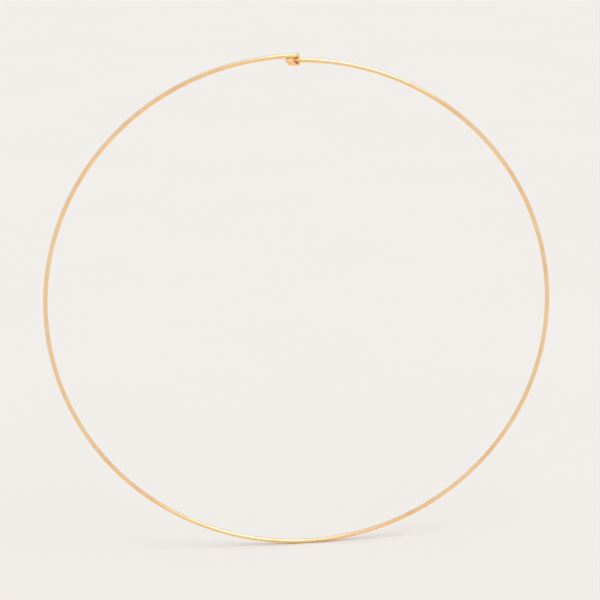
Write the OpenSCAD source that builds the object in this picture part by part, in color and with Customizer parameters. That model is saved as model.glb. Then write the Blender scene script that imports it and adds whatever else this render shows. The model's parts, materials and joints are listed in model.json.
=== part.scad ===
// Wreath frame: one springy ring of round, gold-coloured wire that closes with a catch at its top.
// The left end of the wire is wound into an eye, and the plain right end slides into that eye.
// The ring stands in the XZ plane round the origin, with its foot at -Z, its catch at +Z
// and its axis along Y. The side at -Y is the front.

/* [Ring] */
// Outer diameter of the ring
ring_od = 140; // [80:1:400]
// Diameter of the wire
wire_d = 1.25; // [0.8:0.05:3]
// Angle from the foot to the place where each arm flexes
flex_at = 55; // [30:1:80]

/* [Catch] */
// Clearance all round the plain end inside the eye
eye_clearance = 0.18; // [0.15:0.01:0.8]
// Angle from the top of the eye towards the front, where the left arm runs in
eye_entry = 28; // [0:1:45]
// Radius on the inside of the bend that leads into the eye
bend_inside = 0.5; // [0.35:0.05:2]
// Angle behind the top of the eye where the wire begins to cross under the plain end
cross_from = 130; // [110:5:135]
// Angle behind the top of the eye where the wire has crossed to the left
cross_to = 275; // [270:5:290]
// Angle behind the top of the eye where the wire begins to be pressed flat
press_from = 90; // [60:5:110]
// Angle behind the top of the eye where the wire is pressed flat
press_to = 200; // [180:5:230]
// Width of the pressed tip of the eye, in wire diameters
tip_spread = 1.5; // [1.1:0.05:1.8]
// Thickness of the pressed tip of the eye, in wire diameters
tip_press = 0.5; // [0.4:0.05:0.9]
// Gap between the pressed tip and the right side of the eye, seen from the front
side_gap = 0.5; // [0.3:0.05:2]
// Gap between the cut end of the eye and the wire that runs in above it
tip_gap = 0.4; // [0.35:0.01:0.8]
// Length of the plain end that stands out of the eye
end_past = 0.15; // [0.1:0.05:5]
// Chamfer on the two cut ends of the wire
tip_chamfer = 0.15; // [0.05:0.05:0.3]

/* [Hidden] */
$fn = 96;

gold = "#e9bd7b";

// The wire's radius, and the ring's radius to the wire's axis
wire_r = wire_d / 2;
ring_r = ring_od / 2 - wire_r;

// The points where the foot arc meets the arms, and the way each arm leaves it
right_flex = ring_r * [sin(flex_at), 0, -cos(flex_at)];
left_flex = ring_r * [-sin(flex_at), 0, -cos(flex_at)];
right_leaves = [cos(flex_at), 0, sin(flex_at)];
left_leaves = [-cos(flex_at), 0, sin(flex_at)];

// The right arm ends at the top of the ring.
ring_top = [0, 0, ring_r];

// The axis of the eye's round wire lies eye_r from the plain end's axis.
eye_r = wire_d + eye_clearance;

// The eye runs in straight for one wire diameter, bends through a quarter turn,
// then winds behind and under the plain end, where it is pressed flat and crosses back to the left.
tip_half = wire_r * tip_spread;
eye_bend = wire_r + bend_inside;
eye_right = wire_d + eye_bend;
eye_left = eye_right - wire_r - side_gap - tip_half;
bend_end = eye_entry - turn_of(eye_bend);
eye_end = eye_entry - 360 + asin(min(1, (wire_r + tip_gap) / eye_r));

// The share of its crossing at which the wire turns upright again
upright_from = 0.45;

// Rings along each stretch of the eye, and corners round its wire
run_rings = 5;
bend_rings = 9;
wrap_rings = 32;
wire_sides = 12;

function unit(v) = v / norm(v);

// A smooth step from 0 to 1
function ease(t) = (1 - cos(180 * max(0, min(1, t)))) / 2;

// The angle round the eye that an arc of the given length covers
function turn_of(length) = length / eye_r * 180 / PI;

// How far the wire of the eye has crossed to the left, from 0 to 1
function crossed(turn) =
    let (t = max(0, min(1, (turn + cross_from) / (cross_from - cross_to))))
    t < upright_from
        ? t * t / upright_from
        : 1 - (1 - t) * (1 - t) / (1 - upright_from);

// How far the wire of the eye is pressed flat, thin and wide, from 0 to 1
function pressed(turn) = ease((turn + press_from) / (press_from - press_to));

// Half the thickness and half the width of the eye's wire
function half_thick(turn) = wire_r * (1 + (tip_press - 1) * pressed(turn));
function half_wide(turn) = wire_r * (1 + (tip_spread - 1) * pressed(turn));

// A point on the eye's axis: x along the plain end, turn from the top towards the front
function on_eye(x, turn) =
    let (out = wire_r + eye_clearance + half_thick(turn))
    ring_top + [x, -out * sin(turn), out * cos(turn)];

// The direction in which a circular arc ends that leaves start along the given direction
function arrives(start, along, finish) =
    let (chord = unit(finish - start))
    2 * (along * chord) * chord - along;

// The rings of the eye, each as its place along the plain end and its turn
eye_rings = [
    for (i = [0:run_rings - 1])
        [wire_d * i / run_rings, eye_entry],
    for (i = [0:bend_rings - 1])
        let (bend = 90 * i / bend_rings)
        [wire_d + eye_bend * sin(bend), eye_entry - turn_of(eye_bend * (1 - cos(bend)))],
    for (i = [0:wrap_rings])
        let (turn = bend_end + (eye_end - bend_end) * i / wrap_rings)
        [eye_right + (eye_left - eye_right) * crossed(turn), turn],
];
eye_path = [for (ring = eye_rings) on_eye(ring[0], ring[1])];
eye_last = len(eye_path) - 1;

// The direction of the eye's wire at ring i, which starts in line with the left arm
function eye_heading(i) =
    i == 0
        ? arrives(left_flex, left_leaves, eye_path[0])
        : unit(eye_path[min(i + 1, eye_last)] - eye_path[i - 1]);

// The corners of ring i, which is a little smaller at the cut end
function eye_ring(i) =
    let (centre = eye_path[i])
    let (along = eye_heading(i))
    let (outward = centre - [centre.x, ring_top.y, ring_top.z])
    let (side = unit(outward - along * (along * outward)))
    let (other = cross(along, side))
    let (turn = eye_rings[i][1])
    let (cut = i == eye_last ? tip_chamfer : 0)
    [
        for (k = [0:wire_sides - 1])
            let (angle = 360 * k / wire_sides)
            centre + (half_thick(turn) - cut) * cos(angle) * side
                + (half_wide(turn) - cut) * sin(angle) * other
    ];

// The least gap between corners of the eye that lie more than half of it apart
eye_gap = min([
    for (i = [0:2:eye_last])
        for (j = [i + ceil(eye_last / 2):1:eye_last])
            for (a = eye_ring(i))
                min([for (b = eye_ring(j)) norm(a - b)])
]);
echo(least_gap_of_the_eye_to_itself_mm = eye_gap);

// Wire bent in one circular arc, which leaves start along the given direction and reaches finish
module bent_wire(start, along, finish) {
    reach = finish - start;
    inward = unit(reach - (reach * along) * along);
    half_turn = acos(along * unit(reach));
    radius = norm(reach) / 2 / sin(half_turn);
    centre = start + radius * inward;
    axis = cross(along, inward);
    multmatrix([for (k = [0:2]) [-inward[k], along[k], axis[k], centre[k]]])
        rotate_extrude(angle = 2 * half_turn)
            translate([radius, 0])
                circle(d = wire_d);
}

// The lower arc, which the ring stands on
module foot_arc() {
    color(gold)
        bent_wire(left_flex, -left_leaves, right_flex);
}

// The left side, from the foot arc up to the eye
module left_arm() {
    color(gold)
        bent_wire(left_flex, left_leaves, eye_path[0]);
}

// The left end of the wire, wound round the plain end as one unbroken tube
module eye() {
    corners = [for (i = [0:eye_last]) each eye_ring(i)];
    sides = [
        for (i = [0:eye_last - 1])
            for (k = [0:wire_sides - 1])
                let (a = i * wire_sides + k)
                let (b = i * wire_sides + (k + 1) % wire_sides)
                each [[a, a + wire_sides, b], [b, a + wire_sides, b + wire_sides]]
    ];
    first_cap = [for (k = [1:wire_sides - 2]) [0, k, k + 1]];
    last_corner = eye_last * wire_sides;
    last_cap = [for (k = [1:wire_sides - 2]) [last_corner, last_corner + k + 1, last_corner + k]];
    color(gold)
        polyhedron(corners, concat(sides, first_cap, last_cap));
}

// The right side, from the foot arc up to the top
module right_arm() {
    color(gold)
        bent_wire(right_flex, right_leaves, ring_top);
}

// The straight right end of the wire, which passes through the eye
module plain_end() {
    straight = tip_half - eye_left + end_past - tip_chamfer;
    color(gold)
        translate(ring_top)
            rotate([0, -90, 0]) {
                cylinder(h = straight, r = wire_r);
                translate([0, 0, straight])
                    cylinder(h = tip_chamfer, r1 = wire_r, r2 = wire_r - tip_chamfer);
            }
}

foot_arc();
left_arm();
eye();
right_arm();
plain_end();
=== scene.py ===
"""A springy hoop of gold-coloured wire with a wound catch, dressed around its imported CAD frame.

The hoop stands upright in the XZ plane: its foot at -Z, its catch at +Z and its front at -Y.
All lengths are in metres and all angles in radians, unless a name says otherwise.
"""

from __future__ import annotations

import json
import logging
import math
from collections.abc import Callable, Iterator, Sequence
from contextlib import contextmanager
from dataclasses import dataclass
from enum import Enum

import bpy
from mathutils import Matrix, Vector

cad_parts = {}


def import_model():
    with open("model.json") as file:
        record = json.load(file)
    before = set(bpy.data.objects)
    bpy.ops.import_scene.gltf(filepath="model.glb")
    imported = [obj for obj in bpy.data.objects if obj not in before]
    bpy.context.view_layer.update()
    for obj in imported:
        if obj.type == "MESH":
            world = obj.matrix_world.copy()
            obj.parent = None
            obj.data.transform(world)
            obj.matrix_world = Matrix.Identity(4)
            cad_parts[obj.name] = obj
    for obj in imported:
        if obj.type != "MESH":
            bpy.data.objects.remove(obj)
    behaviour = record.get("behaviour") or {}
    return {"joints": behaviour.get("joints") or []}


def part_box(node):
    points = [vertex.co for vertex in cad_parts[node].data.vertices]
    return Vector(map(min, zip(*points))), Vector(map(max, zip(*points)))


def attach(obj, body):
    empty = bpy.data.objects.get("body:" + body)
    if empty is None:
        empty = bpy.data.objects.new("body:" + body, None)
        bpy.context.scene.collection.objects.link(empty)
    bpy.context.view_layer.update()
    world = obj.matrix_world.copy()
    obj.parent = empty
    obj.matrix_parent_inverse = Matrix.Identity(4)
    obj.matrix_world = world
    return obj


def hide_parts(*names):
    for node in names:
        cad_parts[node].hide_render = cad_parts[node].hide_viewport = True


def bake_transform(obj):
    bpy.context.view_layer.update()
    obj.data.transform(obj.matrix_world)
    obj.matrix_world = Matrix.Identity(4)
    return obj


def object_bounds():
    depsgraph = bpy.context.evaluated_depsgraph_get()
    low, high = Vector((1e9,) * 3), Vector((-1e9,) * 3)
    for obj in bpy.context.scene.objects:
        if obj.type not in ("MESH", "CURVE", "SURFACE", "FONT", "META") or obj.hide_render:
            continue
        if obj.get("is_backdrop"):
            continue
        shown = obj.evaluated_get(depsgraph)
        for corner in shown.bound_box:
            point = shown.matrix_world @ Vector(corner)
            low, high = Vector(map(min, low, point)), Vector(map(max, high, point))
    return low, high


LOG = logging.getLogger("wire_hoop")
MM = 0.001

# The attributes of a piece that its finish reads
GRAIN = "wire_grain"
# Where tools worked the tip; the same share sets a painted reflection there.
WORKED_AND_REFLECTION = "wire_worked"
# Painted shade in the catch's crevices and on the plain end inside the eye.
PAINTED_SHADE = "wire_sheltered"

Colour = tuple[float, float, float]
Xyz = tuple[float, float, float]
Stops = tuple[tuple[float, float], ...]


class Side(Enum):
    """The two halves of the hoop, by the sign of X."""

    LEFT = -1.0
    RIGHT = 1.0


def ease(share: float) -> float:
    """A smooth step from 0 to 1."""
    return (1.0 - math.cos(math.pi * min(1.0, max(0.0, share)))) / 2.0


def rgba(colour: Colour) -> tuple[float, float, float, float]:
    """A colour with full opacity."""
    return (*colour, 1.0)


# The way the wire runs


@dataclass(frozen=True)
class Place:
    """A place on the middle of the wire."""

    point: Vector
    heading: Vector
    outer: Vector
    length: float

    @property
    def across(self) -> Vector:
        """The direction square to the heading and the outer side."""
        return self.heading.cross(self.outer)

    @property
    def axes(self) -> Matrix:
        """Outer side, across and heading as the columns of a matrix."""
        return Matrix((self.outer, self.across, self.heading)).transposed()


@dataclass(frozen=True)
class Bend:
    """One circular bend: the wire leaves start along a direction and reaches finish."""

    start: Vector
    along: Vector
    finish: Vector

    @property
    def reach(self) -> Vector:
        """The straight way from start to finish."""
        return self.finish - self.start

    @property
    def inward(self) -> Vector:
        """The direction from start to the middle of the bend."""
        return (self.reach - self.along * self.reach.dot(self.along)).normalized()

    @property
    def turn(self) -> float:
        """The angle that the wire turns through."""
        return 2.0 * self.along.angle(self.reach)

    @property
    def radius(self) -> float:
        """The radius to the middle of the wire."""
        return self.reach.length / 2.0 / math.sin(self.turn / 2.0)

    @property
    def centre(self) -> Vector:
        """The middle of the bend."""
        return self.start + self.inward * self.radius

    @property
    def axis(self) -> Vector:
        """The direction that the wire turns about."""
        return self.along.cross(self.inward).normalized()

    def at(self, share: float) -> Place:
        """The wire's place at a share of the bend.

        Args:
            share: 0 at start, 1 at finish.

        Returns:
            The point, its heading, its outer side and the length up to it.
        """
        angle = self.turn * share
        outward = self.along * math.sin(angle) - self.inward * math.cos(angle)
        heading = self.along * math.cos(angle) + self.inward * math.sin(angle)
        return Place(self.centre + outward * self.radius, heading, outward, angle * self.radius)


@dataclass(frozen=True)
class HoopSizes:
    """The sizes of the plain hoop, as the CAD frame has them."""

    wire_d: float
    ring_r: float
    flex_at: float

    @classmethod
    def from_frame(cls, joints: Sequence[dict]) -> HoopSizes:
        """Reads the sizes from the lower arc's box and the places of the hinges.

        Args:
            joints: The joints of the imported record.

        Returns:
            The sizes of the hoop.
        """
        low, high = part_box("foot_arc")
        wire_d = high.y - low.y
        x, _, z = joints[0]["pos_m"]
        return cls(wire_d=wire_d, ring_r=-low.z - wire_d / 2.0, flex_at=math.atan2(abs(x), -z))

    @property
    def wire_r(self) -> float:
        """The wire's radius."""
        return self.wire_d / 2.0

    @property
    def top(self) -> Vector:
        """The middle of the wire at the top of the hoop."""
        return Vector((0.0, 0.0, self.ring_r))

    def on_ring(self, side: Side, angle: float) -> Vector:
        """The middle of the wire at an angle from the foot."""
        return Vector((side.value * math.sin(angle), 0.0, -math.cos(angle))) * self.ring_r

    def leaves(self, side: Side, angle: float) -> Vector:
        """The direction in which the wire climbs at an angle from the foot."""
        return Vector((side.value * math.cos(angle), 0.0, math.sin(angle)))


@dataclass(frozen=True)
class CatchSizes:
    """The sizes of the eye and of the plain end, with angles in degrees as on the drawing.

    Attributes:
        clearance: The gap all round the plain end inside the eye.
        entry_deg: From the top of the eye to the front, where the left side runs in.
        bend_inside: The radius on the inside of the bend that leads into the eye.
        cross_from_deg: Behind the top, where the wire begins to cross under the plain end.
        cross_to_deg: Behind the top, where it has crossed to the left.
        upright_from: The share of the crossing at which it turns upright again.
        press_from_deg: Behind the top, where the wire begins to be pressed flat.
        press_to_deg: Behind the top, where it is pressed flat.
        tip_spread: The width of the pressed tip, in wire diameters.
        tip_press: The thickness of the pressed tip, in wire diameters.
        side_gap: Between the pressed tip and the right side of the eye, seen from the front.
        tip_gap: Between the cut end of the eye and the wire above it.
        end_past: The length of the plain end that stands out of the eye.
        dressing: The width that a file takes off the edge of a cut end.
    """

    clearance: float = 0.18 * MM
    entry_deg: float = 28.0
    bend_inside: float = 0.5 * MM
    cross_from_deg: float = 130.0
    cross_to_deg: float = 275.0
    upright_from: float = 0.45
    press_from_deg: float = 90.0
    press_to_deg: float = 200.0
    tip_spread: float = 1.5
    tip_press: float = 0.5
    side_gap: float = 0.5 * MM
    tip_gap: float = 0.12 * MM
    end_past: float = 0.15 * MM
    dressing: float = 0.15 * MM


@dataclass(frozen=True)
class EyePath:
    """The way of the eye's wire: in along the top, behind the plain end, under it and up in front.

    A turn is an angle round the plain end, from the top towards the front.
    """

    hoop: HoopSizes
    catch: CatchSizes
    run_rings: int = 8
    bend_rings: int = 26
    wrap_rings: int = 110

    @property
    def eye_r(self) -> float:
        """The distance from the plain end's axis to the middle of the round wire."""
        return self.hoop.wire_d + self.catch.clearance

    @property
    def bend_r(self) -> float:
        """The radius of the bend that leads into the eye."""
        return self.hoop.wire_r + self.catch.bend_inside

    @property
    def tip_half(self) -> float:
        """Half the width of the pressed tip."""
        return self.hoop.wire_r * self.catch.tip_spread

    @property
    def right_x(self) -> float:
        """The place of the eye's right side along the plain end."""
        return self.hoop.wire_d + self.bend_r

    @property
    def left_x(self) -> float:
        """The place of the pressed tip along the plain end."""
        return self.right_x - self.hoop.wire_r - self.catch.side_gap - self.tip_half

    @property
    def tip_left(self) -> float:
        """The left edge of the pressed tip along the plain end."""
        return self.left_x - self.tip_half

    @property
    def start(self) -> Vector:
        """The point where the left side runs into the eye."""
        return self.on_eye(*self.rings()[0])

    def crossed(self, turn: float) -> float:
        """How far the wire has crossed to the left.

        Args:
            turn: Where on the wrap.

        Returns:
            A share from 0 to 1.
        """
        start, end = self.catch.cross_from_deg, self.catch.cross_to_deg
        upright = self.catch.upright_from
        share = min(1.0, max(0.0, (math.degrees(turn) + start) / (start - end)))
        if share < upright:
            return share**2 / upright
        return 1.0 - (1.0 - share) ** 2 / (1.0 - upright)

    def along(self, turn: float) -> float:
        """The place along the plain end of a turn of the wrap."""
        return self.right_x + (self.left_x - self.right_x) * self.crossed(turn)

    def pressed(self, turn: float) -> float:
        """How far the wire is pressed flat, thin and wide, from 0 to 1."""
        start, end = self.catch.press_from_deg, self.catch.press_to_deg
        return ease((math.degrees(turn) + start) / (start - end))

    def half_thick(self, turn: float) -> float:
        """Half the wire's thickness towards the plain end."""
        return self.hoop.wire_r * (1.0 + (self.catch.tip_press - 1.0) * self.pressed(turn))

    def half_wide(self, turn: float) -> float:
        """Half the wire's width along the plain end."""
        return self.hoop.wire_r * (1.0 + (self.catch.tip_spread - 1.0) * self.pressed(turn))

    def on_eye(self, x: float, turn: float) -> Vector:
        """The middle of the wire at x along the plain end and at a turn."""
        out = self.hoop.wire_r + self.catch.clearance + self.half_thick(turn)
        return self.hoop.top + Vector((x, -out * math.sin(turn), out * math.cos(turn)))

    def rings(self) -> list[tuple[float, float]]:
        """The full rings of the eye, along its straight run in, its bend and its wrap.

        Returns:
            Each ring's place along the plain end and its turn.
        """
        run, bend_r = self.hoop.wire_d, self.bend_r
        entry = math.radians(self.catch.entry_deg)
        bend_end = entry - bend_r / self.eye_r
        end = entry - math.tau + math.asin((self.hoop.wire_r + self.catch.tip_gap) / self.eye_r)
        # The dressed edge of the cut end goes on from the last full ring.
        end += self.catch.dressing / (self.hoop.wire_r + self.catch.clearance + self.half_thick(end))
        rings = [(run * i / self.run_rings, entry) for i in range(self.run_rings)]
        for i in range(self.bend_rings):
            bend = math.pi / 2.0 * i / self.bend_rings
            x = run + bend_r * math.sin(bend)
            rings.append((x, entry - bend_r / self.eye_r * (1.0 - math.cos(bend))))
        for i in range(self.wrap_rings + 1):
            turn = bend_end + (end - bend_end) * i / self.wrap_rings
            rings.append((self.along(turn), turn))
        return rings

    def places(self, entry: Place) -> list[Place]:
        """The places along the eye.

        Args:
            entry: The place where the left side runs into the eye.

        Returns:
            One place for each ring.
        """
        points = [self.on_eye(*ring) for ring in self.rings()]
        length = entry.length
        places = []
        for i, point in enumerate(points):
            ahead = points[min(i + 1, len(points) - 1)] - points[max(i - 1, 0)]
            heading = entry.heading if i == 0 else ahead.normalized()
            outward = Vector((0.0, point.y, point.z - self.hoop.ring_r))
            outer = (outward - heading * heading.dot(outward)).normalized()
            if i:
                length += (point - points[i - 1]).length
            places.append(Place(point, heading, outer, length))
        return places


# Modelling by hand


class Bench:
    """The operators that the wire pieces are modelled with.

    Attributes:
        SIDES: The vertices of a ring round the wire.
        FILED: The rings over the rounded edge of a cut end.
        FINE: The distance under which two vertices are one.
        SMOOTH_DEG: The sharpest edge that is shaded smooth.
    """

    SIDES = 40
    FILED = 5
    FINE = 0.0002 * MM
    SMOOTH_DEG = 32.0

    @staticmethod
    def clear() -> None:
        """Goes to object mode with nothing selected."""
        if bpy.context.mode != "OBJECT":
            bpy.ops.object.mode_set(mode="OBJECT")
        bpy.ops.object.select_all(action="DESELECT")

    @classmethod
    def ring(cls, name: str, place: Place, radius: float) -> bpy.types.Object:
        """Adds an open ring of vertices square to the wire.

        Args:
            name: The new piece's name.
            place: Where the ring lies.
            radius: The wire's radius.

        Returns:
            The new piece.
        """
        cls.clear()
        bpy.ops.mesh.primitive_circle_add(
            vertices=cls.SIDES,
            radius=radius,
            fill_type="NOTHING",
            location=place.point,
            rotation=place.axes.to_euler(),
        )
        piece = bpy.context.active_object
        piece.name = name
        piece.data.name = name
        return piece

    @classmethod
    @contextmanager
    def editing(cls, piece: bpy.types.Object, everything: bool = True) -> Iterator[None]:
        """Edit mode on one piece.

        Args:
            piece: The piece to edit.
            everything: Whether all of it is selected at first, or only what was picked.

        Returns:
            The context in which the piece is edited.
        """
        cls.clear()
        bpy.context.view_layer.objects.active = piece
        piece.select_set(True)
        bpy.ops.object.mode_set(mode="EDIT")
        bpy.ops.mesh.select_mode(type="VERT")
        if everything:
            bpy.ops.mesh.select_all(action="SELECT")
        yield
        bpy.ops.object.mode_set(mode="OBJECT")

    @classmethod
    def pick(cls, piece: bpy.types.Object, wanted: Callable[[Vector], bool]) -> None:
        """Selects the vertices of a piece by their place.

        Args:
            piece: The piece to select on.
            wanted: Says of a vertex's place whether it is wanted.
        """
        cls.clear()
        for part in (piece.data.edges, piece.data.polygons):
            part.foreach_set("select", [False] * len(part))
        chosen = [wanted(piece.matrix_world @ vertex.co) for vertex in piece.data.vertices]
        piece.data.vertices.foreach_set("select", chosen)

    @staticmethod
    def wind(bend: Bend, steps: int) -> None:
        """Spins the selected ring along a bend; the operator counts angles the other way."""
        bpy.ops.mesh.spin(steps=steps, angle=-bend.turn, center=bend.centre, axis=bend.axis)

    @staticmethod
    def extrude(old: Place, new: Place) -> None:
        """Extrudes the selected ring straight to the next place."""
        bpy.ops.mesh.extrude_edges_move(TRANSFORM_OT_translate={"value": new.point - old.point})

    @classmethod
    def advance(cls, old: Place, new: Place) -> None:
        """Extrudes the selected ring to the next place and turns it square to the wire there.

        Args:
            old: Where the ring lies.
            new: Where the next ring goes.
        """
        cls.extrude(old, new)
        turned = (new.axes @ old.axes.transposed()).to_euler("XYZ")
        for axis, angle in zip("XYZ", turned):
            bpy.ops.transform.rotate(
                value=-angle, orient_axis=axis, orient_type="GLOBAL", center_override=new.point
            )

    @staticmethod
    def scale(value: Xyz, axes: Matrix, centre: Vector) -> None:
        """Scales what is selected along given axes."""
        bpy.ops.transform.resize(
            value=value,
            orient_type="GLOBAL",
            orient_matrix=axes,
            orient_matrix_type="GLOBAL",
            center_override=centre,
        )

    @classmethod
    def flatten(cls, place: Place, thick: float, wide: float) -> None:
        """Scales the selected ring towards its outer side and across."""
        cls.scale((thick, wide, 1.0), place.axes, place.point)

    @classmethod
    def round_off(cls, place: Place, half: tuple[float, float], width: float) -> list[Place]:
        """Rounds the edge of a cut end over a few last rings, as a file does.

        Args:
            place: The place of the last full ring, which is selected.
            half: Half the wire's thickness and half its width there.
            width: The width that the file takes off.

        Returns:
            The places of the last rings.
        """
        places, taken = [place], 0.0
        for i in range(1, cls.FILED + 1):
            angle = math.pi / 2.0 * i / cls.FILED
            ahead, off = width * math.sin(angle), width * (1.0 - math.cos(angle))
            point = place.point + place.heading * ahead
            places.append(Place(point, place.heading, place.outer, place.length + ahead))
            cls.extrude(places[-2], places[-1])
            cls.flatten(places[-1], *((size - off) / (size - taken) for size in half))
            taken = off
        return places[1:]

    @classmethod
    def press(cls, piece: bpy.types.Object, point: Vector, normal: Vector, reach: float) -> None:
        """Leaves one flat jaw mark, where what stands out past a plane is pressed level.

        Args:
            piece: The piece to press.
            point: The middle of the mark.
            normal: The way that it faces.
            reach: How far from its middle the jaw reaches.
        """

        def under_jaw(place: Vector) -> bool:
            """Whether the jaw meets a vertex."""
            offset = place - point
            return offset.length < reach and offset.dot(normal) > 0.0

        cls.pick(piece, under_jaw)
        level = normal.to_track_quat("Z", "Y").to_matrix()
        with cls.editing(piece, everything=False):
            cls.scale((1.0, 1.0, 0.0), level, point)

    @classmethod
    def complete(cls, piece: bpy.types.Object) -> None:
        """Closes a piece, turns its faces outwards and puts its place into its mesh.

        Args:
            piece: The piece, open at both ends of its wire.
        """
        with cls.editing(piece):
            bpy.ops.mesh.remove_doubles(threshold=cls.FINE)
            bpy.ops.mesh.fill_holes(sides=0)
            bpy.ops.mesh.normals_make_consistent(inside=False)
        bpy.ops.object.transform_apply(location=True, rotation=True, scale=True)
        bpy.ops.object.shade_smooth_by_angle(angle=math.radians(cls.SMOOTH_DEG))


def trace_grain(piece: bpy.types.Object, places: Sequence[Place], mirrored: bool) -> None:
    """Writes where each vertex lay on the straight wire, so that the draw lines follow the bends.

    Args:
        piece: The piece as it was wound, ring by ring.
        places: The place of each of its rings.
        mirrored: Whether lengths count from the foot to the left.
    """
    sign = -1.0 if mirrored else 1.0
    grain: list[float] = []
    for vertex in piece.data.vertices:
        place = places[vertex.index // Bench.SIDES]
        offset = piece.matrix_world @ vertex.co - place.point
        grain += [offset.dot(place.outer), sign * offset.dot(place.across), sign * place.length]
    attribute = piece.data.attributes.new(GRAIN, "FLOAT_VECTOR", "POINT")
    attribute.data.foreach_set("vector", grain)


@dataclass(frozen=True)
class WearAndPaintedLight:
    """Where tools have worked the wire round the catch, which also sets a painted reflection, and
    where shade is painted into the catch.

    Attributes:
        hoop: The sizes of the hoop.
        clearance: The gap all round the plain end inside the eye.
        middle_x: The middle of what tools have worked, along the plain end.
        worked_near: The distance from there up to which the wire is fully worked.
        worked_far: The distance from which it is untouched.
        shelter_from: Where the shelter of the catch begins, along the plain end.
        shelter_to: Where that shelter ends.
        fade: The length over which it fades in and out.
        core_share: How much painted shade the plain end gets inside the eye.
        facing_full: How squarely a face looks at the plain end where it counts in full.
    """

    hoop: HoopSizes
    clearance: float
    middle_x: float = 1.2 * MM
    worked_near: float = 2.0 * MM
    worked_far: float = 3.6 * MM
    shelter_from: float = -0.75 * MM
    shelter_to: float = 3.1 * MM
    fade: float = 0.7 * MM
    core_share: float = 0.9
    facing_full: float = 0.8

    def worked_and_reflection(self, point: Vector) -> float:
        """How much tools have touched a point, from 0 to 1; the finish paints a reflection there in
        the same share.
        """
        away = (point - self.hoop.top - Vector((self.middle_x, 0.0, 0.0))).length
        return 1.0 - ease((away - self.worked_near) / (self.worked_far - self.worked_near))

    def painted_shade(self, point: Vector, normal: Vector) -> float:
        """How much shade is painted on a point hidden in the catch: on the plain end inside the eye,
        and on faces that look at the plain end.

        Args:
            point: A point on the wire.
            normal: The way that its surface faces.

        Returns:
            A share from 0 to 1.
        """
        inside = ease((point.x - self.shelter_from) / self.fade)
        inside *= ease((self.shelter_to - point.x) / self.fade)
        out = point - self.hoop.top
        out.x = 0.0
        if out.length > self.worked_far:
            return 0.0
        # The plain end inside the eye gets painted shade all round; other faces get it as they face
        # the plain end.
        if out.length < self.hoop.wire_r + self.clearance / 2.0:
            return self.core_share * inside
        return inside * ease(-normal.dot(out.normalized()) / self.facing_full)

    def mark(self, piece: bpy.types.Object) -> None:
        """Writes both shares for each vertex.

        Args:
            piece: The closed piece.
        """
        vertices = piece.data.vertices
        shares = {
            WORKED_AND_REFLECTION: [self.worked_and_reflection(vertex.co) for vertex in vertices],
            PAINTED_SHADE: [self.painted_shade(vertex.co, vertex.normal) for vertex in vertices],
        }
        for name, values in shares.items():
            attribute = piece.data.attributes.new(name, "FLOAT", "POINT")
            attribute.data.foreach_set("value", values)


# Shader maths and finishes


class Value:
    """A shader value; each operator that it meets adds a Math node."""

    def __init__(self, shop: Shop, socket: bpy.types.NodeSocket) -> None:
        """Wraps one output socket of a shop's node tree."""
        self.shop = shop
        self.socket = socket

    def __add__(self, other: Value | float) -> Value:
        """This plus other."""
        return self.shop.math("ADD", self, other)

    def __radd__(self, other: float) -> Value:
        """Other plus this."""
        return self.shop.math("ADD", other, self)

    def __mul__(self, other: Value | float) -> Value:
        """This times other."""
        return self.shop.math("MULTIPLY", self, other)

    def __rmul__(self, other: float) -> Value:
        """Other times this."""
        return self.shop.math("MULTIPLY", other, self)


@dataclass(frozen=True)
class Noise:
    """How coarse and how detailed a noise texture is."""

    scale: float
    detail: float
    roughness: float = 0.55


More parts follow.
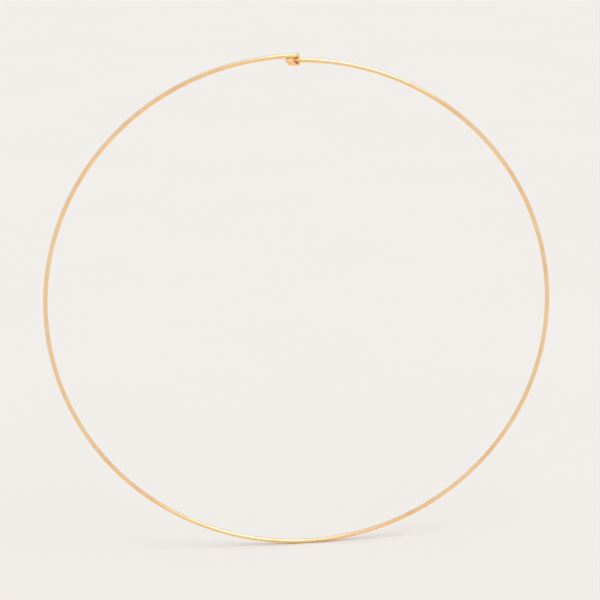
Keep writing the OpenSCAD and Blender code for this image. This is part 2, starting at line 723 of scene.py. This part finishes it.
class Shop:
    """The node tree of one material or world, and the few ways in which nodes are added to it."""

    def __init__(self, owner: bpy.types.Material | bpy.types.World) -> None:
        """Starts with no nodes.

        Args:
            owner: The material or world, which loses the nodes that it has.
        """
        owner.use_nodes = True
        self.tree = owner.node_tree
        self.tree.nodes.clear()

    def node(
        self, kind: str, settings: dict | None = None, inputs: dict | None = None
    ) -> bpy.types.Node:
        """Adds one node.

        Args:
            kind: The node's type.
            settings: Its properties, set first; stops holds a ramp's stops.
            inputs: Its sockets, by name or number, each with a value or a link.

        Returns:
            The new node.
        """
        made = self.tree.nodes.new(kind)
        for key, value in (settings or {}).items():
            if key == "stops":
                ramp = made.color_ramp.elements
                while len(ramp) < len(value):
                    ramp.new(1.0)
                for stop, (at, grey) in zip(ramp, value):
                    stop.position = at
                    stop.color = rgba((grey, grey, grey))
            else:
                setattr(made, key, value)
        for key, value in (inputs or {}).items():
            if isinstance(value, Value):
                self.tree.links.new(value.socket, made.inputs[key])
            elif isinstance(value, bpy.types.NodeSocket):
                self.tree.links.new(value, made.inputs[key])
            else:
                made.inputs[key].default_value = value
        return made

    def value(self, node: bpy.types.Node, output: str | int = 0) -> Value:
        """One output of a node as a value."""
        return Value(self, node.outputs[output])

    def attribute(self, name: str) -> bpy.types.Node:
        """A node that reads one of a piece's attributes."""
        return self.node("ShaderNodeAttribute", {"attribute_name": name})

    def object_place(self) -> bpy.types.NodeSocket:
        """The place on the object."""
        return self.node("ShaderNodeTexCoord").outputs["Object"]

    def math(self, operation: str, first: Value | float, second: Value | float) -> Value:
        """A Math node on two values."""
        made = self.node("ShaderNodeMath", {"operation": operation}, {0: first, 1: second})
        return self.value(made)

    def scaled(self, vector: bpy.types.NodeSocket, scale: Xyz) -> bpy.types.NodeSocket:
        """A vector with each of its parts scaled."""
        made = self.node("ShaderNodeVectorMath", {"operation": "MULTIPLY"}, {0: vector, 1: scale})
        return made.outputs[0]

    def noise(self, vector: bpy.types.NodeSocket, noise: Noise) -> Value:
        """A noise texture's value."""
        sockets = {
            "Vector": vector,
            "Scale": noise.scale,
            "Detail": noise.detail,
            "Roughness": noise.roughness,
        }
        return self.value(self.node("ShaderNodeTexNoise", None, sockets), "Fac")

    def ramp(self, factor: Value, stops: Stops) -> Value:
        """A value carried through a grey ramp."""
        made = self.node("ShaderNodeValToRGB", {"stops": stops}, {"Fac": factor})
        return self.value(made, "Color")

    def mixed(
        self, factor: Value, first: Colour | bpy.types.NodeSocket, second: Colour
    ) -> bpy.types.NodeSocket:
        """A mix of two colours.

        Args:
            factor: 0 for the first colour, 1 for the second.
            first: A colour, or the socket of one.
            second: A colour.

        Returns:
            The socket of the mixed colour.
        """
        start = rgba(first) if isinstance(first, tuple) else first
        settings = {"data_type": "RGBA", "clamp_factor": True}
        return self.node("ShaderNodeMix", settings, {0: factor, 6: start, 7: rgba(second)}).outputs[2]

    def finish(self, kind: str, shader: bpy.types.Node) -> None:
        """Links a shader node to the output node."""
        self.node(kind, None, {0: shader.outputs[0]})


@dataclass(frozen=True)
class GoldFinish:
    """Polished gold colour on drawn wire: fine draw lines, handling marks and worked ends, with a
    painted reflection on the worked tip and painted shade in the catch.

    The colours come first, then the patterns, and then how much each pattern counts in the
    shade, the tint, the roughness and the height. Polish is the roughness of unmarked wire.
    """

    body: Colour = (0.925, 0.635, 0.345)
    pale: Colour = (0.95, 0.69, 0.405)
    deep: Colour = (0.87, 0.545, 0.26)
    # Painted reflection: a brighter, more orange tint on the worked, pressed tip.
    worked_and_reflection: Colour = (1.0, 0.66, 0.30)
    # Painted shade: the dark colour painted into the catch's crevices and onto the plain end inside
    # the eye.
    painted_shade: Colour = (0.70, 0.36, 0.10)

    line_across: float = 9000.0
    line_along: float = 70.0
    line_noise: Noise = Noise(1.0, 3.0)
    hair_noise: Noise = Noise(3.7, 2.0)
    handled_noise: Noise = Noise(85.0, 4.0)
    plating_noise: Noise = Noise(420.0, 2.0)
    scuff_noise: Noise = Noise(5200.0, 4.0)
    scuff_stops: Stops = ((0.55, 0.0), (0.72, 1.0))

    line_shade: float = 0.2
    handled_shade: float = 0.5
    plating_shade: float = 0.3
    body_stops: Stops = ((0.36, 0.0), (0.5, 1.0))
    pale_stops: Stops = ((0.48, 0.0), (0.66, 1.0))
    # How much the painted reflection tints the worked tip.
    painted_reflection_tint: float = 0.8
    # How much shade is painted into the catch, and how much the handling noise varies that painted
    # shade.
    painted_shade_tint: float = 0.4
    painted_shade_noise: float = 0.4

    polish: float = 0.22
    handled_rough: float = 0.10
    line_rough: float = 0.05
    worked_rough: float = 0.16
    scuff_rough: float = 0.08
    sheltered_rough: float = 0.15

    line_height: float = 0.7
    hair_height: float = 0.3
    scuff_height: float = 0.5
    bump_depth: float = 0.012 * MM
    bump_strength: float = 0.35

    lacquer: float = 1.0
    lacquer_roughness: float = 0.12

    def material(self, name: str) -> bpy.types.Material:
        """Makes the material.

        Args:
            name: The material's name.

        Returns:
            The material, which reads the grain, worked and sheltered attributes of a piece.
        """
        made = bpy.data.materials.new(name)
        shop = Shop(made)
        grain = shop.attribute(GRAIN).outputs["Vector"]
        worked_and_reflection = shop.value(shop.attribute(WORKED_AND_REFLECTION), "Fac")
        painted_shade = shop.value(shop.attribute(PAINTED_SHADE), "Fac")
        place = shop.object_place()
        drawn = shop.scaled(grain, (self.line_across, self.line_across, self.line_along))
        lines = shop.noise(drawn, self.line_noise)
        hair = shop.noise(drawn, self.hair_noise)
        handled = shop.noise(place, self.handled_noise)
        plating = shop.noise(place, self.plating_noise)
        scuffs = shop.ramp(shop.noise(grain, self.scuff_noise), self.scuff_stops)

        shade = self.line_shade * lines + self.handled_shade * handled + self.plating_shade * plating
        colour = shop.mixed(shop.ramp(shade, self.body_stops), self.deep, self.body)
        colour = shop.mixed(shop.ramp(shade, self.pale_stops), colour, self.pale)
        # The worked tip gets a painted reflection: a brighter, more orange tint.
        colour = shop.mixed(self.painted_reflection_tint * worked_and_reflection, colour, self.worked_and_reflection)
        # Painted shade in the catch's crevices, varied by the handling noise.
        painted_shade_share = painted_shade * (self.painted_shade_tint + self.painted_shade_noise * handled)
        colour = shop.mixed(painted_shade_share, colour, self.painted_shade)

        rough = self.polish + self.handled_rough * handled + self.line_rough * lines
        rough = rough + worked_and_reflection * (self.worked_rough + self.scuff_rough * scuffs)
        rough = rough + self.sheltered_rough * painted_shade

        height = self.line_height * lines + self.hair_height * hair
        height = height + self.scuff_height * (worked_and_reflection * scuffs)
        bump = shop.node(
            "ShaderNodeBump",
            None,
            {"Strength": self.bump_strength, "Distance": self.bump_depth, "Height": height},
        )
        shader = shop.node(
            "ShaderNodeBsdfPrincipled",
            None,
            {
                "Base Color": colour,
                "Metallic": 1.0,
                "Roughness": rough,
                "Coat Weight": self.lacquer,
                "Coat Roughness": self.lacquer_roughness,
                "Normal": bump.outputs["Normal"],
            },
        )
        shop.finish("ShaderNodeOutputMaterial", shader)
        return made


@dataclass(frozen=True)
class FloorFinish:
    """Plain pale paper with a trace of fibre."""

    colour: Colour = (0.801, 0.795, 0.789)
    fibre: Colour = (0.72, 0.70, 0.66)
    fibre_noise: Noise = Noise(9.0, 2.0)
    fibre_tint: float = 0.10
    roughness: float = 0.95
    gloss: float = 0.1

    def material(self, name: str) -> bpy.types.Material:
        """Makes the floor's material.

        Args:
            name: The material's name.

        Returns:
            The material.
        """
        made = bpy.data.materials.new(name)
        shop = Shop(made)
        fibre = shop.noise(shop.object_place(), self.fibre_noise)
        colour = shop.mixed(self.fibre_tint * fibre, self.colour, self.fibre)
        shader = shop.node(
            "ShaderNodeBsdfPrincipled",
            None,
            {"Base Color": colour, "Roughness": self.roughness, "Specular IOR Level": self.gloss},
        )
        shop.finish("ShaderNodeOutputMaterial", shader)
        return made


@dataclass(frozen=True)
class GoldWire:
    """What all the pieces of the wire share: their finish and their wear, painted shade and painted
    reflection.
    """

    finish: bpy.types.Material
    wear_and_light: WearAndPaintedLight

    def dress(self, piece: bpy.types.Object) -> None:
        """Marks a closed piece's wear, painted shade and painted reflection, and gives it the finish.

        Args:
            piece: The piece, with its grain already traced.
        """
        self.wear_and_light.mark(piece)
        piece.data.materials.append(self.finish)


# The hoop's pieces


@dataclass(frozen=True)
class Hoop:
    """The plain stretches of the hoop: the foot and the two sides.

    Attributes:
        sizes: The sizes of the hoop.
        eye_start: The point where the left side runs into the eye.
        gold: What the pieces are dressed with.
        foot_half: The angle from the foot's middle to the start of a side.
        spring_end: The angle from the foot's middle past which a side doesn't bend; it is not used.
        ring_every: The largest angle between two rings.
    """

    sizes: HoopSizes
    eye_start: Vector
    gold: GoldWire
    foot_half: float = math.radians(4.0)
    spring_end: float = math.radians(120.0)
    ring_every: float = math.radians(1.0)

    @property
    def side_start(self) -> float:
        """The length of wire from the foot's middle to the start of a side."""
        return self.foot_half * self.sizes.ring_r

    @property
    def eye_entry(self) -> Place:
        """The place where the left side runs into the eye."""
        return self.places(self.bends(Side.LEFT), self.side_start)[-1]

    def bends(self, side: Side) -> list[Bend]:
        """The bends of one side.

        Args:
            side: Which side.

        Returns:
            The bends, from the foot to the catch.
        """
        sizes, half = self.sizes, self.foot_half
        start, along = sizes.on_ring(side, half), sizes.leaves(side, half)
        if side is Side.RIGHT:
            return [Bend(start, along, sizes.top)]
        flex = sizes.on_ring(side, sizes.flex_at)
        climbs = sizes.leaves(side, sizes.flex_at)
        return [Bend(start, along, flex), Bend(flex, climbs, self.eye_start)]

    def steps(self, bend: Bend) -> int:
        """The number of steps between the rings of a bend."""
        return math.ceil(bend.turn / self.ring_every)

    def places(self, bends: Sequence[Bend], length: float) -> list[Place]:
        """The places of the rings along some bends.

        Args:
            bends: The bends in their order.
            length: The length of wire before the first.

        Returns:
            One place for each ring.
        """
        places = []
        for bend in bends:
            steps = self.steps(bend)
            for i in range(1 if places else 0, steps + 1):
                spot = bend.at(i / steps)
                places.append(Place(spot.point, spot.heading, spot.outer, length + spot.length))
            length += bend.turn * bend.radius
        return places

    def wire(
        self, name: str, bends: Sequence[Bend], length: float, mirrored: bool
    ) -> bpy.types.Object:
        """Models one stretch of wire.

        Args:
            name: The piece's name.
            bends: The bends that it follows.
            length: The length of wire before it, from the foot.
            mirrored: Whether it climbs to the left.

        Returns:
            The closed and dressed piece.
        """
        piece = Bench.ring(name, bends[0].at(0.0), self.sizes.wire_r)
        with Bench.editing(piece):
            for bend in bends:
                Bench.wind(bend, self.steps(bend))
        trace_grain(piece, self.places(bends, length), mirrored)
        Bench.complete(piece)
        self.gold.dress(piece)
        return piece

    def build_foot(self) -> bpy.types.Object:
        """Models the stretch that the hoop stands on, which rides on the foot.

        Returns:
            The new piece.
        """
        left, right = (self.sizes.on_ring(side, self.foot_half) for side in Side)
        bend = Bend(left, -self.sizes.leaves(Side.LEFT, self.foot_half), right)
        foot = self.wire("foot_wire", [bend], -self.side_start, mirrored=False)
        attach(foot, "foot")
        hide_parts("foot_arc")
        return foot

    def build_side(self, side: Side) -> bpy.types.Object:
        """Models one side of wire, from the foot to the catch.

        Args:
            side: Which side.

        Returns:
            The new piece.
        """
        word = side.name.lower()
        mirrored = side is Side.LEFT
        piece = self.wire(f"{word}_wire", self.bends(side), self.side_start, mirrored)
        self.sizes.on_ring(side, self.foot_half)
        self.sizes.on_ring(side, self.spring_end)
        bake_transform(piece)
        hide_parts(f"{word}_arm")
        return piece


@dataclass(frozen=True)
class Catch:
    """The wound eye on the left end of the wire, and the plain right end that slides into it.

    Attributes:
        path: The way of the eye's wire, with all the sizes.
        gold: What the pieces are dressed with.
        jaw_depth: The depth of a flat mark that a jaw left on the pressed tip.
        jaw_reach: How far such a mark reaches from its middle.
        jaw_turns_deg: Where on the wrap these marks are.
        end_rings: The steps between the rings along the plain end.
    """

    path: EyePath
    gold: GoldWire
    jaw_depth: float = 0.06 * MM
    jaw_reach: float = 0.8 * MM
    jaw_turns_deg: tuple[float, ...] = (-276.0, -236.0)
    end_rings: int = 4

    def finish(self, piece: bpy.types.Object, body: str, node: str) -> None:
        """Closes and dresses a piece of the catch and lets it ride on its body.

        Args:
            piece: The piece, with its grain already traced.
            body: The body that it rides on.
            node: The node that it stands for.
        """
        Bench.complete(piece)
        self.gold.dress(piece)
        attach(piece, body)
        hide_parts(node)

    def build_eye(self, entry: Place) -> bpy.types.Object:
        """Models the eye ring by ring, presses its tip flat and dresses its cut end.

        Args:
            entry: The place where the left side runs into the eye.

        Returns:
            The new piece.
        """
        path = self.path
        places = path.places(entry)
        halves = [(path.half_thick(turn), path.half_wide(turn)) for _, turn in path.rings()]
        eye = Bench.ring("eye_wire", places[0], path.hoop.wire_r)
        with Bench.editing(eye):
            for i in range(1, len(places)):
                Bench.advance(places[i - 1], places[i])
                thick, wide = (new / old for new, old in zip(halves[i], halves[i - 1]))
                if thick != 1.0 or wide != 1.0:
                    Bench.flatten(places[i], thick, wide)
            places += Bench.round_off(places[-1], halves[-1], path.catch.dressing)
        trace_grain(eye, places, mirrored=True)
        for degrees in self.jaw_turns_deg:
            self.mark_jaw(eye, math.radians(degrees))
        self.finish(eye, "left", "eye")
        return eye

    def mark_jaw(self, eye: bpy.types.Object, turn: float) -> None:
        """Leaves one jaw mark on the outside of the pressed tip.

        Args:
            eye: The eye.
            turn: Where on the wrap.
        """
        sizes, catch = self.path.hoop, self.path.catch
        normal = Vector((0.0, -math.sin(turn), math.cos(turn)))
        out = sizes.wire_r + catch.clearance + 2.0 * self.path.half_thick(turn)
        middle = sizes.top + normal * (out - self.jaw_depth)
        middle.x = self.path.along(turn)
        Bench.press(eye, middle, normal, self.jaw_reach)

    def build_plain_end(self) -> bpy.types.Object:
        """Models the straight right end with its dressed tip.

        Returns:
            The new piece.
        """
        sizes, catch = self.path.hoop, self.path.catch
        left = Vector((-1.0, 0.0, 0.0))
        start = Place(sizes.top, left, Vector((0.0, 0.0, 1.0)), math.pi * sizes.ring_r)
        straight = catch.end_past - self.path.tip_left - catch.dressing
        places = [
            Place(start.point + left * ahead, left, start.outer, start.length + ahead)
            for ahead in (straight * i / self.end_rings for i in range(self.end_rings + 1))
        ]
        end = Bench.ring("plain_end_wire", start, sizes.wire_r)
        with Bench.editing(end):
            for old, new in zip(places, places[1:]):
                Bench.extrude(old, new)
            places += Bench.round_off(places[-1], (sizes.wire_r, sizes.wire_r), catch.dressing)
        trace_grain(end, places, mirrored=False)
        self.finish(end, "right", "plain_end")
        return end


# The studio


@dataclass(frozen=True)
class Sky:
    """One wide soft light: the way it comes from, its width and its strength."""

    name: str
    comes_from: Xyz
    width_deg: float
    strength: float

    def hang(self) -> None:
        """Adds the light."""
        data = bpy.data.lights.new(self.name, "SUN")
        data.angle = math.radians(self.width_deg)
        data.energy = self.strength
        lamp = bpy.data.objects.new(self.name, data)
        bpy.context.scene.collection.objects.link(lamp)
        lamp.rotation_euler = Vector(self.comes_from).to_track_quat("Z", "Y").to_euler()


@dataclass(frozen=True)
class Studio:
    """A pale floor, soft light and the camera."""

    background: Colour = (0.880, 0.857, 0.829)
    ambient: float = 0.95
    window: Sky = Sky("window_light", (0.28, -0.4, 0.87), 46.0, 0.98)
    floor_half: float = 12.0
    floor_cells: int = 4
    lens_mm: float = 100.0
    sensor_mm: float = 36.0
    clip_near: float = 0.01
    clip_far: float = 100.0
    azimuth_deg: float = -2.588
    elevation_deg: float = 16.575
    roll_deg: float = -2.288
    distance: float = 0.46038
    aim: Xyz = (0.000516, 0.0, 0.003061)

    def lay_floor(self, height: float) -> None:
        """Adds the floor under the hoop.

        Args:
            height: The height of the lowest point of the hoop.
        """
        Bench.clear()
        bpy.ops.mesh.primitive_grid_add(
            x_subdivisions=self.floor_cells,
            y_subdivisions=self.floor_cells,
            size=2.0 * self.floor_half,
            location=(0.0, 0.0, height),
        )
        floor = bpy.context.active_object
        floor.name = "floor"
        floor.data.materials.append(FloorFinish().material("pale_paper"))
        floor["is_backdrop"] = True

    def light(self) -> None:
        """Sets the world, at full strength where it is seen or mirrored, and hangs the lamp."""
        world = bpy.data.worlds.new("studio")
        bpy.context.scene.world = world
        shop = Shop(world)
        ray = shop.node("ShaderNodeLightPath")
        seen = shop.math("MAXIMUM", shop.value(ray, "Is Camera Ray"), shop.value(ray, "Is Glossy Ray"))
        seen = shop.math("MAXIMUM", seen, shop.value(ray, "Is Transmission Ray"))
        strength = self.ambient + (1.0 - self.ambient) * seen
        back = shop.node(
            "ShaderNodeBackground", None, {"Color": rgba(self.background), "Strength": strength}
        )
        shop.finish("ShaderNodeOutputWorld", back)
        self.window.hang()

    def aim_camera(self) -> None:
        """Adds the camera at the photograph's viewing angle."""
        degrees = (self.azimuth_deg, self.elevation_deg, self.roll_deg)
        turn, rise, roll = (math.radians(angle) for angle in degrees)
        back = Vector(
            (math.sin(turn) * math.cos(rise), -math.cos(turn) * math.cos(rise), math.sin(rise))
        )
        level = Vector((math.cos(turn), math.sin(turn), 0.0))
        upright = back.cross(level)
        right = level * math.cos(roll) + upright * math.sin(roll)
        up = upright * math.cos(roll) - level * math.sin(roll)
        data = bpy.data.cameras.new("camera")
        data.lens = self.lens_mm
        data.sensor_width = self.sensor_mm
        data.clip_start = self.clip_near
        data.clip_end = self.clip_far
        camera = bpy.data.objects.new("camera", data)
        bpy.context.scene.collection.objects.link(camera)
        axes = Matrix((right, up, back)).transposed().to_4x4()
        camera.matrix_world = Matrix.Translation(Vector(self.aim) + back * self.distance) @ axes
        bpy.context.scene.camera = camera
        bpy.context.scene.view_settings.view_transform = "Standard"


def corners(box: tuple[Vector, Vector]) -> list[list[float]]:
    """A box as plain lists of numbers."""
    return [[float(x) for x in corner] for corner in box]


def main() -> None:
    """Builds the hoop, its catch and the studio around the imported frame."""
    logging.basicConfig(level=logging.INFO, format="%(name)s: %(message)s")
    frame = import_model()
    cad_box = corners(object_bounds())

    studio = Studio()
    studio.aim_camera()

    sizes = HoopSizes.from_frame(frame["joints"])
    path = EyePath(sizes, CatchSizes())
    gold = GoldWire(GoldFinish().material("gold_wire"), WearAndPaintedLight(sizes, path.catch.clearance))

    hoop = Hoop(sizes, path.start, gold)
    pieces = [hoop.build_foot(), *(hoop.build_side(side) for side in Side)]
    catch = Catch(path, gold)
    pieces += [catch.build_eye(hoop.eye_entry), catch.build_plain_end()]
    for piece in pieces:
        LOG.info("%s has %d faces", piece.name, len(piece.data.polygons))

    studio.lay_floor(cad_box[0][2])
    studio.light()
    Bench.clear()


if __name__ == "__main__":
    main()
